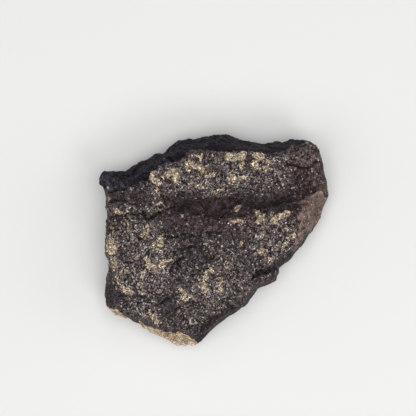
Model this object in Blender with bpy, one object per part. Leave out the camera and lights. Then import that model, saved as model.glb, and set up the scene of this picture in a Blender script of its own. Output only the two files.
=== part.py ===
"""A chondrite meteorite: one angular, flattened stone about 62 mm long that rests on a small flat spot.

The upper face is a broken face with a trough, ridges, grooves and pits. The long back edge and the horn
at its left end are a slope of fusion crust. The left and front left edges are steep breaks, and the
underside is a shallow crusted bowl shape with thumbprints. Lengths are in millimetres, and +Z is up.
"""

import math

import bmesh
import bpy
import numpy as np
from mathutils import Vector, noise

MM = 0.001

# Driving dimensions: the height of the upper face, and how far it falls at a reach from the middle
CROWN = 19.6
DOME_FALL = 1.5
REACH = 30.0

# How far the belly of the underside is planed off, and how sharply it curves
SINK = 0.6
BELLY_POWER = 2.1
CRUST_SLOPE_POWER = 1.35

# The furrows of the upper face wander by this much, over this length
WANDER = 1.1
WANDER_SIZE = 4.5

# The widest line is swelled a little for what the wear takes off it
RIM_SWELL = 0.2

# How finely the shape is worked out, and how many triangles are kept
GRAIN = 0.45
SIDES = 480
RIM_SMOOTHING = 31
TRIANGLES = 9200

# The point that every outline is measured around
MIDDLE = (-1.1, 0.1)

# The widest line of the stone as seen from above, clockwise from the tip of the horn
BACK_EDGE = [
    (-31.0, 18.2), (-30.4, 18.7), (-27.3, 18.8), (-23.2, 18.8), (-21.3, 20.1), (-18.4, 21.3),
    (-16.2, 23.0),
    (-15.1, 23.4), (-13.1, 23.1), (-12.6, 24.2), (-11.3, 25.8), (-8.9, 26.7), (-5.1, 27.2), (-2.2, 27.9),
    (0.8, 28.7), (4.0, 27.9), (6.2, 27.5), (9.4, 26.0), (13.0, 25.5), (16.5, 26.3), (20.8, 26.8),
    (22.7, 27.1),
]
RIGHT_EDGE = [
    (26.2, 26.5), (27.5, 25.5), (28.5, 22.5), (29.7, 19.0), (30.4, 15.2), (31.0, 12.2), (29.8, 9.2),
    (28.4, 5.7), (26.5, 2.9), (25.4, 2.0), (24.0, -1.0), (21.7, -3.4), (20.8, -4.8), (18.1, -6.7),
]
FRONT_RIGHT_EDGE = [
    (17.3, -8.0), (16.5, -10.7), (15.1, -11.8), (11.6, -12.6), (9.7, -15.7), (7.0, -18.3), (3.8, -20.4),
    (0.3, -23.2), (-2.2, -25.8), (-4.6, -28.3),
]
FRONT_LEFT_EDGE = [
    (-5.5, -28.7), (-8.9, -28.5), (-10.5, -28.0), (-13.2, -26.3), (-16.2, -25.6), (-18.6, -24.1),
    (-19.4, -22.9), (-22.7, -20.9), (-25.9, -19.8), (-28.7, -18.2),
]
LEFT_EDGE = [
    (-29.2, -14.8), (-28.9, -11.0), (-28.1, -7.5), (-28.2, -6.1), (-29.2, -5.3), (-29.5, -3.2),
    (-28.9, -0.7),
    (-28.6, 6.8), (-28.9, 11.9), (-30.1, 15.5),
]
RIM = BACK_EDGE + RIGHT_EDGE + FRONT_RIGHT_EDGE + FRONT_LEFT_EDGE + LEFT_EDGE

# The height of that widest line at a few places round the stone
RIM_HEIGHTS = [
    (-31.0, 18.2, 11.0), (-22.0, 19.5, 9.0), (-12.9, 23.4, 7.5), (0.8, 28.7, 7.0), (13.0, 25.5, 8.5),
    (24.0, 26.9, 10.5), (30.4, 15.2, 11.5), (29.8, 9.2, 8.0), (25.4, 2.0, 8.5), (20.8, -4.8, 7.5),
    (16.7, -9.5, 9.5), (9.7, -15.7, 9.0), (0.3, -23.2, 8.5), (-5.5, -28.7, 6.0), (-14.6, -25.7, 6.5),
    (-22.7, -20.9, 9.0), (-28.7, -18.2, 11.0), (-28.2, -6.5, 12.0), (-28.6, 6.8, 12.5),
    (-29.6, 14.0, 12.5),
]

# The brow: the edge of the upper face, inside the widest line
BROW = [
    (-28.7, 14.1), (-25.4, 14.4), (-21.3, 15.5), (-17.3, 18.4), (-14.6, 20.0), (-11.3, 21.7), (-7.8, 23.0),
    (-3.8, 24.2), (-0.3, 24.2), (3.8, 23.6), (8.4, 23.8), (11.9, 23.8), (14.0, 22.6), (19.2, 23.6),
    (21.1, 25.0), (25.6, 24.9), (27.2, 23.4), (27.9, 20.8), (28.8, 17.0), (28.1, 13.8), (24.8, 11.4),
    (23.2, 9.2), (23.4, 4.9), (23.0, 2.4), (22.1, 0.1), (20.3, -2.4), (18.1, -4.0), (16.2, -6.2),
    (16.1, -8.6),
    (15.5, -10.4), (10.5, -11.8), (9.4, -14.0), (7.3, -16.1), (2.2, -19.6), (-0.5, -21.5), (-2.2, -23.4),
    (-4.6, -26.4), (-6.6, -25.1), (-12.4, -23.7), (-15.1, -23.2), (-20.0, -20.3), (-25.1, -18.8),
    (-27.3, -17.6), (-27.0, -13.4), (-27.6, -7.5), (-28.5, -2.6), (-28.1, 7.6),
]

# The foot: where the sides turn under, with its height
FOOT = [
    (-27.6, 14.8, 7.0), (-20.5, 17.4, 5.0), (-11.0, 22.6, 6.0), (0.8, 25.6, 3.6), (12.6, 22.6, 5.5),
    (24.4, 23.6, 4.0), (28.2, 13.4, 6.5), (24.2, 4.0, 3.0), (17.4, -4.6, 5.5), (13.2, -10.0, 3.2),
    (4.0, -17.0, 5.5), (-5.6, -25.6, 3.0), (-14.0, -23.2, 2.2), (-25.4, -17.4, 4.8), (-26.6, -6.0, 2.6),
    (-27.0, 4.0, 5.0),
]

# The big flat breaks of the sides: the bearing and tilt that each faces, in degrees, and how deep it bites
BREAKS = [
    (196.0, -30.0, 0.6),
    (226.0, -22.0, 0.4),
    (262.0, -34.0, 0.5),
    (300.0, -20.0, 0.3),
    (322.0, -42.0, 1.0),
    (350.0, -26.0, 0.4),
    (24.0, -34.0, 0.8),
    (66.0, -44.0, 1.2),
    (104.0, -30.0, 0.5),
    (140.0, -40.0, 1.4),
    (168.0, -24.0, 0.5),
]

# The size of each kind of mark on the surface, and how far it stands out or in
LARGE_CHIPS = (6.0, 0.6)
SMALL_CHIPS = (3.0, 0.55)
SCARS = (10.0, 3.4)
SCAR_HOLLOWS = (8.0, 1.8)
SCAR_DEPTH = 0.7
THUMBPRINTS = (7.5, 1.6)
RIPPLE = (2.2, 0.35)

# Shifts that give each kind of chip, and each direction of drift, a pattern of its own
DRIFT_Y = Vector((13.7, 5.1, 9.4))
DRIFT_Z = Vector((4.9, 17.3, 8.2))
CHIP_OFFSET = Vector((40.0, 0.0, 0.0))
SCAR_OFFSET = Vector((0.0, 40.0, 0.0))

STONE_COLOUR = (0.105, 0.086, 0.078, 1.0)
STONE_ROUGHNESS = 0.72


def smooth_step(low, high, value):
    t = min(max((value - low) / (high - low), 0.0), 1.0)
    return t * t * (3.0 - 2.0 * t)


def drift(place):
    """A direction and strength that wander smoothly from place to place."""
    return Vector((noise.noise(place), noise.noise(place + DRIFT_Y), noise.noise(place + DRIFT_Z)))


def distance_to_path(x, y, path):
    """The distance from a point to an open path, and how far along the path it is, from 0 to 1."""
    here = Vector((x, y))
    best = (1.0e9, 0.0)
    for i, (start, end) in enumerate(zip(path, path[1:])):
        a = Vector(start)
        along = Vector(end) - a
        t = min(max((here - a).dot(along) / along.length_squared, 0.0), 1.0)
        gap = (here - a - along * t).length
        best = min(best, (gap, (i + t) / (len(path) - 1)))
    return best


def groove(x, y, path, width, depth):
    """A rounded furrow along a path, which fades at both of its ends."""
    gap, along = distance_to_path(x, y, path)
    if gap > 3.0 * width:
        return 0.0
    fade = smooth_step(0.0, 0.12, along) * smooth_step(1.0, 0.88, along)
    return -depth * (0.35 + 0.65 * fade) * math.exp(-((gap / width) ** 2))


def mound(x, y, place, radii, turn, height):
    """A smooth oval rise, or a hollow where the height is negative."""
    dx = x - place[0]
    dy = y - place[1]
    c = math.cos(math.radians(turn))
    s = math.sin(math.radians(turn))
    u = (dx * c + dy * s) / radii[0]
    v = (dy * c - dx * s) / radii[1]
    return height * math.exp(-(u * u + v * v))


def terrace(x, y, place, radii, turn, height):
    """An oval area raised or lowered as a step with a steep edge."""
    dx = x - place[0]
    dy = y - place[1]
    c = math.cos(math.radians(turn))
    s = math.sin(math.radians(turn))
    u = (dx * c + dy * s) / radii[0]
    v = (dy * c - dx * s) / radii[1]
    return height * smooth_step(1.15, 0.85, math.hypot(u, v))


TROUGH = [
    (-13.0, 12.3), (-9.5, 10.6), (-6.0, 9.2), (-2.4, 8.2), (0.8, 7.8), (4.9, 9.2), (10.3, 9.9),
    (15.7, 9.8),
    (20.5, 10.4), (24.6, 11.6), (28.0, 14.0),
]
TROUGH_DEEP = [(-11.0, 10.4), (-6.0, 8.8), (-1.0, 7.8), (4.0, 8.6)]
RIDGE = [(-11.0, 6.6), (-5.0, 5.4), (2.0, 5.2), (8.0, 6.2), (15.0, 6.9), (19.0, 6.6)]
SECOND_GROOVE = [(-15.0, 2.2), (-11.3, 0.9), (-7.6, 0.6), (-3.8, 1.4), (0.0, 1.9)]
HOOK_GROOVE = [(-2.4, 0.1), (-5.7, -1.8), (-8.1, -2.4), (-9.7, -4.3), (-10.2, -6.4), (-11.8, -7.8)]
CREVICE = [(-19.4, 7.4), (-17.6, 5.9), (-15.7, 6.8), (-12.8, 8.2)]
LOBE_CRACK = [(9.4, -10.3), (11.9, -8.6), (13.0, -7.9), (14.6, -7.8), (16.2, -7.2), (17.6, -6.6)]
HORN_GROOVE = [(-29.4, 13.9), (-25.4, 13.8), (-21.0, 14.8)]
LEFT_GROOVE = [(-29.0, 10.9), (-26.4, 11.3), (-23.6, 11.0)]
CORNER_GROOVE = [(17.4, 22.2), (20.0, 20.9), (23.4, 19.4), (27.0, 18.6)]
FRONT_GROOVE = [(-25.0, -14.2), (-22.0, -14.8), (-18.0, -13.8), (-13.0, -14.6)]


# The furrows of the upper face: path, half width and depth. The ridge is raised, so its depth is negative
FURROWS = [
    (TROUGH, 2.6, 1.2),
    (TROUGH_DEEP, 3.2, 0.9),
    (RIDGE, 2.6, -0.6),
    (SECOND_GROOVE, 1.3, 0.7),
    (HOOK_GROOVE, 1.1, 0.7),
    (CREVICE, 0.8, 1.0),
    (LOBE_CRACK, 0.8, 1.4),
    (HORN_GROOVE, 1.0, 0.9),
    (LEFT_GROOVE, 0.8, 0.7),
    (CORNER_GROOVE, 1.1, 0.9),
    (FRONT_GROOVE, 1.2, 0.8),
]

# Its bumps and hollows: place, half length and half width, turn in degrees, and height
MOUNDS = [
    ((-17.8, 7.9), (1.6, 1.3), 0.0, 0.9),
    ((-10.0, -5.9), (1.9, 1.2), 55.0, -1.0),
    ((22.0, 10.6), (3.6, 1.6), 15.0, -0.6),
    ((-22.0, -4.0), (3.4, 2.6), 30.0, 0.6),
    ((-13.5, -13.0), (3.0, 2.2), 0.0, 0.5),
    ((-2.0, -11.0), (3.2, 2.4), 60.0, 0.5),
    ((10.0, -6.0), (3.4, 2.2), 20.0, -0.5),
    ((6.0, -3.0), (6.0, 4.0), 20.0, 0.7),
    ((-5.0, 18.5), (8.0, 3.0), 10.0, 0.5),
    ((1.5, 7.8), (3.6, 1.6), 0.0, -0.6),
]

# Its lower tiers, each a step down: the front lobe, the back right corner, and the rough part before it
TIERS = [
    ((14.6, -10.4), (4.4, 2.7), 20.0, -1.4),
    ((26.0, 22.6), (6.2, 4.0), -20.0, -1.3),
    ((27.0, 16.2), (5.4, 2.6), 10.0, -1.6),
]


def upper_face(x, y):
    """The height of the broken upper face, with its tiers, ridges and furrows."""
    z = CROWN - DOME_FALL * ((x * x + y * y) / REACH**2)
    wander = drift(Vector((x, y, 0.0)) / WANDER_SIZE)
    x += WANDER * wander.x
    y += WANDER * wander.y
    z += 0.9 * smooth_step(9.0, 22.0, y)
    z -= 1.8 * smooth_step(-17.0, -29.0, x)
    z -= 1.6 * smooth_step(-14.0, -27.0, y)
    z -= 1.0 * smooth_step(2.0, -9.0, y) * smooth_step(6.0, 20.0, x)
    z += sum(terrace(x, y, *tier) for tier in TIERS)
    z += sum(groove(x, y, *furrow) for furrow in FURROWS)
    z += sum(mound(x, y, *bump) for bump in MOUNDS)
    return z


def hackles(point, size, blend=0.16):
    """Tilted flat chips with small steps between them, as a broken stone has."""
    place = point / size
    gaps, seeds = noise.voronoi(place)
    chips = []
    for seed in seeds[:2]:
        tilt = drift(seed * 5.3)
        chips.append(tilt.dot(place - seed) + 0.5 * noise.noise(seed * 3.1))
    own = 0.5 + 0.5 * smooth_step(0.0, blend, gaps[1] - gaps[0])
    return own * chips[0] + (1.0 - own) * chips[1]


def thumbprints(point, size):
    """Shallow bowls that meet in soft ridges, as a melted surface has."""
    gaps, _ = noise.voronoi(point / size)
    return min(gaps[0] * gaps[0], 0.5) - 0.2


def outline_angles(points):
    return np.array([math.atan2(p[1] - MIDDLE[1], p[0] - MIDDLE[0]) for p in points])


def outline_radii(points):
    return np.array([math.hypot(p[0] - MIDDLE[0], p[1] - MIDDLE[1]) for p in points])


def around(angles, points, values):
    """Values given at an outline's points, read at any angle round the stone."""
    order = np.argsort(outline_angles(points))
    keys = outline_angles(points)[order]
    return np.interp(angles, keys, np.asarray(values)[order], period=2.0 * math.pi)


def stone_rings():
    """Closed rings of points, from the middle of the upper face, over the sides, to the middle below."""
    angles = np.linspace(-math.pi, math.pi, SIDES, endpoint=False)
    brow = around(angles, BROW, outline_radii(BROW))
    rim = around(angles, RIM, outline_radii(RIM)) + RIM_SWELL
    foot = around(angles, FOOT, outline_radii(FOOT))
    rim_z = around(angles, RIM_HEIGHTS, [p[2] for p in RIM_HEIGHTS])
    foot_z = around(angles, FOOT, [p[2] for p in FOOT])
    near = np.ones(RIM_SMOOTHING) / RIM_SMOOTHING
    plain_rim = np.convolve(np.tile(rim, 3), near, mode="same")[SIDES : 2 * SIDES]

    def ring(radii, heights):
        x = MIDDLE[0] + radii * np.cos(angles)
        y = MIDDLE[1] + radii * np.sin(angles)
        if heights is None:
            heights = [upper_face(a, b) for a, b in zip(x, y)]
        return np.stack([x, y, np.asarray(heights)], axis=1)

    rings = [ring(brow * share, None) for share in np.linspace(0.02, 1.0, 46)]
    brow_z = rings[-1][:, 2]
    for t in np.linspace(0.0, 1.0, 16)[1:]:
        fall = t**CRUST_SLOPE_POWER
        rings.append(ring(brow + (rim - brow) * t, brow_z - (brow_z - rim_z) * fall))
    for t in np.linspace(0.0, 1.0, 16)[1:]:
        tuck = math.cos(t * math.pi / 2.0) ** 0.8
        side = foot + (plain_rim - foot) * tuck + (rim - plain_rim) * tuck**7
        rings.append(ring(side, rim_z + (foot_z - rim_z) * math.sin(t * math.pi / 2.0)))
    for share in np.linspace(1.0, 0.02, 40)[1:]:
        rings.append(ring(foot * share, foot_z * share**BELLY_POWER - SINK * (1.0 - share**8)))
    return rings


def loft(rings):
    """A closed mesh object through the rings, capped at both ends."""
    shape = bmesh.new()
    rows = [[shape.verts.new(Vector(p) * MM) for p in ring] for ring in rings]
    for upper, lower in zip(rows, rows[1:]):
        for i in range(SIDES):
            j = (i + 1) % SIDES
            shape.faces.new((upper[i], lower[i], lower[j], upper[j]))
    shape.faces.new(rows[0])
    shape.faces.new(reversed(rows[-1]))
    bmesh.ops.recalc_face_normals(shape, faces=shape.faces)
    mesh = bpy.data.meshes.new("meteorite")
    shape.to_mesh(mesh)
    shape.free()
    stone = bpy.data.objects.new("meteorite", mesh)
    bpy.context.scene.collection.objects.link(stone)
    return stone


def even_out(stone):
    """A modifier that spaces the mesh's points evenly and closes folds finer than the grain."""
    remesh = stone.modifiers.new("Even grain", "REMESH")
    remesh.mode = "VOXEL"
    remesh.voxel_size = GRAIN * MM
    return remesh


def flat_breaks():
    """The direction that each flat break faces, how far out it touches the widest line, and its bite."""
    heights = around(outline_angles(RIM), RIM_HEIGHTS, [p[2] for p in RIM_HEIGHTS])
    rim_points = [Vector((x, y, z)) for (x, y), z in zip(RIM, heights)]
    breaks = []
    for bearing, tilt, bite in BREAKS:
        b = math.radians(bearing)
        t = math.radians(tilt)
        face = Vector((math.cos(b) * math.cos(t), math.sin(b) * math.cos(t), math.sin(t)))
        breaks.append((face, max(face.dot(p) for p in rim_points), bite))
    return breaks


def surface_shift(p, normal, crust):
    """How far a point moves along its normal: chips and scars where broken, thumbprints under crust."""
    wall = 1.0 - smooth_step(0.4, 0.8, normal.z)
    chips = LARGE_CHIPS[1] * hackles(p, LARGE_CHIPS[0])
    chips += SMALL_CHIPS[1] * hackles(p + CHIP_OFFSET, SMALL_CHIPS[0])
    scars = SCARS[1] * hackles(p + SCAR_OFFSET, SCARS[0], 0.4)
    scars += SCAR_HOLLOWS[1] * thumbprints(p, SCAR_HOLLOWS[0]) - SCAR_DEPTH
    broken = chips + wall * min(scars, 0.2)
    melted = THUMBPRINTS[1] * thumbprints(p, THUMBPRINTS[0]) + RIPPLE[1] * noise.noise(p / RIPPLE[0])
    return (1.0 - crust) * broken + crust * melted


def roughen(stone):
    """Gives the stone its flat breaks, chips and thumbprints, and keeps its outline from above."""
    vertices = stone.data.vertices
    places = [v.co / MM for v in vertices]
    normals = [Vector(v.normal) for v in vertices]
    bearings = outline_angles(places)
    radii = outline_radii(places)
    rims = around(bearings, RIM, outline_radii(RIM)) + RIM_SWELL
    brows = around(bearings, BROW, outline_radii(BROW))
    rim_heights = around(bearings, RIM_HEIGHTS, [p[2] for p in RIM_HEIGHTS])
    breaks = flat_breaks()
    for i, p in enumerate(places):
        below = smooth_step(0.0, 3.0, rim_heights[i] - p.z)
        for face, reach, bite in breaks:
            over = face.dot(p) - reach + bite * below
            if over > 0.0:
                p -= face * over
        back = smooth_step(14.0, 19.0, p.y + 0.25 * p.x) * smooth_step(-0.3, 0.6, radii[i] - brows[i])
        under = smooth_step(-0.35, -0.7, normals[i].z)
        shift = normals[i] * surface_shift(p, normals[i], max(back, under))
        inside = smooth_step(0.2, 1.8, rims[i] - radii[i])
        away = smooth_step(0.5, 4.0, abs(p.z - rim_heights[i]))
        freedom = 0.2 + 0.8 * max(inside, away)
        p += Vector((shift.x * freedom, shift.y * freedom, shift.z))
        beyond = outline_radii([p])[0] / rims[i]
        if beyond > 1.0:
            p.x = MIDDLE[0] + (p.x - MIDDLE[0]) / beyond
            p.y = MIDDLE[1] + (p.y - MIDDLE[1]) / beyond
        vertices[i].co = p * MM


def ground_cutter():
    """A hidden block that planes the small flat spot under the stone."""
    shape = bmesh.new()
    bmesh.ops.create_cube(shape, size=1.0)
    bmesh.ops.scale(shape, vec=Vector((80.0, 80.0, 10.0)) * MM, verts=shape.verts)
    bmesh.ops.translate(shape, vec=Vector((0.0, 0.0, -5.0)) * MM, verts=shape.verts)
    mesh = bpy.data.meshes.new("ground_cutter")
    shape.to_mesh(mesh)
    shape.free()
    cutter = bpy.data.objects.new("ground_cutter", mesh)
    bpy.context.scene.collection.objects.link(cutter)
    cutter.hide_render = True
    cutter.display_type = "WIRE"
    return cutter


def wear(stone):
    """Takes the sharpest corners off, as weather does."""
    smooth = stone.modifiers.new("Weathering", "SMOOTH")
    smooth.factor = 0.5
    smooth.iterations = 2


def evaluated_triangles(stone):
    """How many triangles the stone has with the modifiers that it has so far."""
    shown = stone.evaluated_get(bpy.context.evaluated_depsgraph_get()).data
    return sum(len(p.vertices) - 2 for p in shown.polygons)


def simplify(stone):
    """Fewer, larger triangles where the surface is flat."""
    faces = evaluated_triangles(stone)
    decimate = stone.modifiers.new("Fewer triangles", "DECIMATE")
    decimate.decimate_type = "COLLAPSE"
    decimate.ratio = TRIANGLES / faces
    decimate.use_collapse_triangulate = True


def stand_flat(stone):
    """Planes the resting spot at the level of the ground."""
    cut = stone.modifiers.new("Resting spot", "BOOLEAN")
    cut.operation = "DIFFERENCE"
    cut.object = ground_cutter()


def stone_material():
    material = bpy.data.materials.new("chondrite")
    material.use_nodes = True
    shader = material.node_tree.nodes["Principled BSDF"]
    shader.inputs["Base Color"].default_value = STONE_COLOUR
    shader.inputs["Roughness"].default_value = STONE_ROUGHNESS
    shader.inputs["Metallic"].default_value = 0.0
    return material


for old in list(bpy.data.objects):
    bpy.data.objects.remove(old)

meteorite = loft(stone_rings())
bpy.context.view_layer.objects.active = meteorite
bpy.ops.object.modifier_apply(modifier=even_out(meteorite).name)
roughen(meteorite)
even_out(meteorite)
wear(meteorite)
simplify(meteorite)
stand_flat(meteorite)
meteorite.data.materials.append(stone_material())
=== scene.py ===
"""A chondrite meteorite that lies on its flat spot on a plain pale table, seen from straight above."""

import math

import bpy
import numpy as np
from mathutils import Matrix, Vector, noise


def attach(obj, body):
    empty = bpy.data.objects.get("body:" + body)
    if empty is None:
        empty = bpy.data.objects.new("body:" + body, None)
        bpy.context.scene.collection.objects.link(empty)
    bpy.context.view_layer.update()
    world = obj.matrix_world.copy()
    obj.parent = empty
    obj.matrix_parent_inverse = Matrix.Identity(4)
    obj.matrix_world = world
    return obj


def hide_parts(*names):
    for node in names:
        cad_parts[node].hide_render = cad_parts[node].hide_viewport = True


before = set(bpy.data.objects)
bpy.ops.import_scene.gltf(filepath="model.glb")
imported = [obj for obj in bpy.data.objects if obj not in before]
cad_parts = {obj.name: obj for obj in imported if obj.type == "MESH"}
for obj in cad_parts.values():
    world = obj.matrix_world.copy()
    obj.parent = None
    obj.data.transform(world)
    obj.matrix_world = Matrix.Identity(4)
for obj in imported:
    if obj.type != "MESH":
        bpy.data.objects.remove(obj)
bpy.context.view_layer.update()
bpy.ops.object.select_all(action="DESELECT")

# The stone is one piece of a stony meteorite, broken open in the air. Its upper face is a rough break
# through tightly packed mineral grains, and a thin black crust that melted in flight still covers the
# back edge, the horn and the underside. It is one natural piece and nothing is fixed to it.
MM = 0.001
GRAIN_STEP = 0.255
WELD_GAP = 0.001
UNDERSIDE_SHARE = 0.12
UNDERSIDE_TILT = -0.45

stone_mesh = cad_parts["meteorite"].data.copy()
stone = bpy.data.objects.new("stone", stone_mesh)
bpy.context.scene.collection.objects.link(stone)
stone_mesh.materials.clear()
stone.select_set(True)
bpy.context.view_layer.objects.active = stone
bpy.ops.object.mode_set(mode="EDIT")
bpy.ops.mesh.select_all(action="SELECT")
bpy.ops.mesh.remove_doubles(threshold=WELD_GAP * MM)
bpy.ops.object.mode_set(mode="OBJECT")
even = stone.modifiers.new("Even grain", "REMESH")
even.mode = "VOXEL"
even.voxel_size = GRAIN_STEP * MM
bpy.ops.object.modifier_apply(modifier=even.name)

# The underside is a plain crusted bowl shape, so it needs fewer faces than the broken sides and top
facing = np.empty(len(stone_mesh.polygons) * 3, dtype=np.float32)
stone_mesh.polygons.foreach_get("normal", facing)
bpy.context.tool_settings.mesh_select_mode = (False, False, True)
bpy.ops.object.mode_set(mode="EDIT")
bpy.ops.mesh.select_all(action="DESELECT")
bpy.ops.object.mode_set(mode="OBJECT")
stone_mesh.polygons.foreach_set("select", facing.reshape(-1, 3)[:, 2] < UNDERSIDE_TILT)
bpy.ops.object.mode_set(mode="EDIT")
bpy.ops.mesh.decimate(ratio=UNDERSIDE_SHARE)
bpy.ops.object.mode_set(mode="OBJECT")


def places_of(piece):
    """The vertices of a piece, in millimetres."""
    places = np.empty(len(piece.data.vertices) * 3)
    piece.data.vertices.foreach_get("co", places)
    return places.reshape(-1, 3) / MM


def move_to(piece, places):
    """Moves the vertices of a piece to places in millimetres."""
    piece.data.vertices.foreach_set("co", (places * MM).ravel())
    piece.data.update()


def normals_of(piece):
    """The direction in which the surface faces at each vertex."""
    normals = np.empty(len(piece.data.vertices) * 3, dtype=np.float32)
    piece.data.vertex_normals.foreach_get("vector", normals)
    return normals.reshape(-1, 3).astype(float)


def evened(piece, places, rounds):
    """The places after the surface is evened out a number of times."""
    own_share = 0.4
    ends = np.empty(len(piece.data.edges) * 2, dtype=np.int32)
    piece.data.edges.foreach_get("vertices", ends)
    a, b = ends.reshape(-1, 2).T
    count = np.bincount(a, minlength=len(places)) + np.bincount(b, minlength=len(places))
    for _ in range(rounds):
        total = np.zeros_like(places)
        for k in range(3):
            total[:, k] = np.bincount(a, weights=places[b, k], minlength=len(places))
            total[:, k] += np.bincount(b, weights=places[a, k], minlength=len(places))
        places = own_share * places + (1.0 - own_share) * total / count[:, None]
    return places


def step(low, high, value):
    """Nothing at the first bound and one at the second, with a smooth rise between them."""
    t = np.clip((value - low) / (high - low), 0.0, 1.0)
    return t * t * (3.0 - 2.0 * t)


def lumps(places, size, shift=0.0):
    """Smooth noise from -1 to 1 at each place, with lumps about as wide as the size."""
    return np.array([noise.noise(Vector(p)) for p in places / size + shift])


def wandering(places, size, reach):
    """The places shifted a little, so that what is drawn on them gets a ragged outline."""
    shift = np.stack([lumps(places, size), lumps(places, size, 20.0), lumps(places, size, 40.0)], axis=1)
    return places + reach * shift


def chips(places, size, shift=0.0):
    """Small flat breaks, each tilted its own way, with low steps between them."""
    step_width = 0.12
    aside = Vector((7.1, 3.3, 1.9))
    heights = np.empty(len(places))
    for i, p in enumerate(places / size + shift):
        here = Vector(p)
        gaps, seeds = noise.voronoi(here)
        own = min((gaps[1] - gaps[0]) / step_width, 1.0) * 0.5 + 0.5
        flats = []
        for seed in seeds[:2]:
            s = seed * 5.3
            tilt = Vector((noise.noise(s), noise.noise(s + aside), noise.noise(s.yzx)))
            flats.append(tilt.dot(here - seed) + 0.6 * noise.noise(seed * 3.1))
        heights[i] = own * flats[0] + (1.0 - own) * flats[1]
    return heights


def chipped(places, layers):
    """Layers of chips on top of each other, each with its size, its height and the shift of its pattern."""
    return sum(height * chips(places, size, shift) for size, height, shift in layers)


def pits(places, spacing, width):
    """Small round holes where grains fell out. Only about half of the places have one."""
    depths = np.empty(len(places))
    for i, p in enumerate(places / spacing):
        gaps, seeds = noise.voronoi(Vector(p))
        depths[i] = max(1.0 - gaps[0] * spacing / width, 0.0) * (noise.noise(seeds[0] * 4.7) > 0.0)
    return depths


def along(places, path):
    """The distance in the plane from each place to an open path."""
    points = np.asarray(path, dtype=float)
    best = np.full(len(places), 1.0e9)
    for start, end in zip(points, points[1:]):
        run = end - start
        t = np.clip(((places[:, :2] - start) @ run) / (run @ run), 0.0, 1.0)
        best = np.minimum(best, np.linalg.norm(places[:, :2] - start - t[:, None] * run, axis=1))
    return best


def out_from(places, middle, radii, turn):
    """How far out each place is from the middle of an oval on the face: one is on its line."""
    c = math.cos(math.radians(turn))
    s = math.sin(math.radians(turn))
    x = places[:, 0] - middle[0]
    y = places[:, 1] - middle[1]
    return np.hypot((x * c + y * s) / radii[0], (y * c - x * s) / radii[1])


def oval(places, middle, radii, turn):
    """One inside an oval on the face and nothing outside it, with a soft edge."""
    return step(1.25, 0.6, out_from(places, middle, radii, turn))


def inside(places, corners, soft):
    """One inside a shape drawn on the face, and nothing outside it, with an edge that wide."""
    points = np.asarray(corners, dtype=float)
    x = places[:, 0]
    y = places[:, 1]
    odd = np.zeros(len(places), dtype=bool)
    for a, b in zip(points, np.roll(points, -1, axis=0)):
        across = (a[1] > y) != (b[1] > y)
        run = b[1] - a[1] if b[1] != a[1] else 1.0
        odd ^= across & (x < (b[0] - a[0]) * (y - a[1]) / run + a[0])
    gap = along(places, corners + corners[:1])
    return step(-soft, soft, np.where(odd, gap, -gap))


def stroked(places, strokes, core):
    """Strokes on the face, each with its line, reach and strength, full to a core share of the reach."""
    drawn = np.zeros(len(places))
    for path, reach, strength in strokes:
        drawn = np.maximum(drawn, strength * step(reach, core * reach, along(places, path)))
    return drawn


def blotched(places, areas):
    """Ovals on the face, each with its middle, radii, turn and strength."""
    drawn = np.zeros(len(places))
    for middle, radii, turn, strength in areas:
        drawn = np.maximum(drawn, strength * oval(places, middle, radii, turn))
    return drawn


def paint(piece, name, values):
    """Keeps a value at each vertex for the material to read."""
    layer = piece.data.attributes.new(name=name, type="FLOAT", domain="POINT")
    layer.data.foreach_set("value", np.asarray(values, dtype=np.float32))


# The edge between the broken face and the crusted slope at the back, from the horn to the back right corner
CRUST_EDGE = [
    (-28.9, 13.4), (-26.5, 13.6), (-22.7, 14.5), (-20.5, 14.9), (-18.6, 15.7), (-17.4, 16.4),
    (-16.8, 18.3), (-14.6, 19.6), (-12.6, 20.9), (-11.0, 20.7), (-9.3, 21.0), (-7.9, 22.2),
    (-6.8, 23.7), (-3.8, 24.2), (-0.3, 23.8), (3.8, 23.6), (8.4, 23.9), (11.9, 23.6),
    (14.0, 22.9), (17.0, 23.4), (19.2, 24.0), (21.1, 25.2), (27.0, 26.5),
]
# The top of the horn is painted lighter as a painted sheen: its middle, radii, turn and strength
HORN_SHEEN = [((-28.0, 15.4), (5.2, 3.6), 0.0, 1.0)]
HORN_TIP = ((-30.6, 16.0), (1.8, 1.3), 0.0)

# Dark smooth hollows of the broken face: the line of each, its reach and how dark it is
DARK_HOLLOWS = [
    ([(-11.5, 9.9), (-6.0, 8.9), (0.0, 7.9), (4.9, 9.2), (10.3, 9.9), (20.5, 10.4), (27.0, 13.0)],
     3.6, 1.00),
    ([(-28.4, 11.2), (-24.6, 12.4), (-20.0, 11.4)], 2.6, 0.60),
    ([(22.4, 17.0), (25.2, 15.4), (27.8, 15.6)], 3.0, 0.55),
    ([(-17.0, 6.4), (-13.0, 6.0), (-9.5, 5.2)], 2.0, 0.50),
    ([(9.1, 22.6), (9.1, 19.6)], 1.4, 0.80),
]

# Dark smooth stretches of the rim, where the break is rounded, partly painted shade: the line of each, its
# reach and darkness
DARK_RIM_AND_SHADE = [
    ([(-28.4, -8.4), (-27.8, -12.5), (-27.4, -16.4)], 2.1, 0.30),
    ([(29.6, 21.6), (30.6, 16.4)], 1.1, 0.60),
    ([(30.8, 11.6), (30.0, 8.4)], 1.0, 0.90),
    ([(24.2, 0.6), (23.0, -1.8), (20.0, -4.4), (17.6, -6.4)], 2.1, 0.90),
    ([(16.4, -9.6), (14.0, -11.6), (11.2, -13.2)], 1.0, 0.50),
    ([(10.6, -14.6), (7.0, -17.6), (3.2, -19.8)], 1.2, 0.60),
    ([(4.4, -19.2), (-0.2, -22.6), (-3.4, -26.4)], 3.1, 1.00),
]

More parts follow.
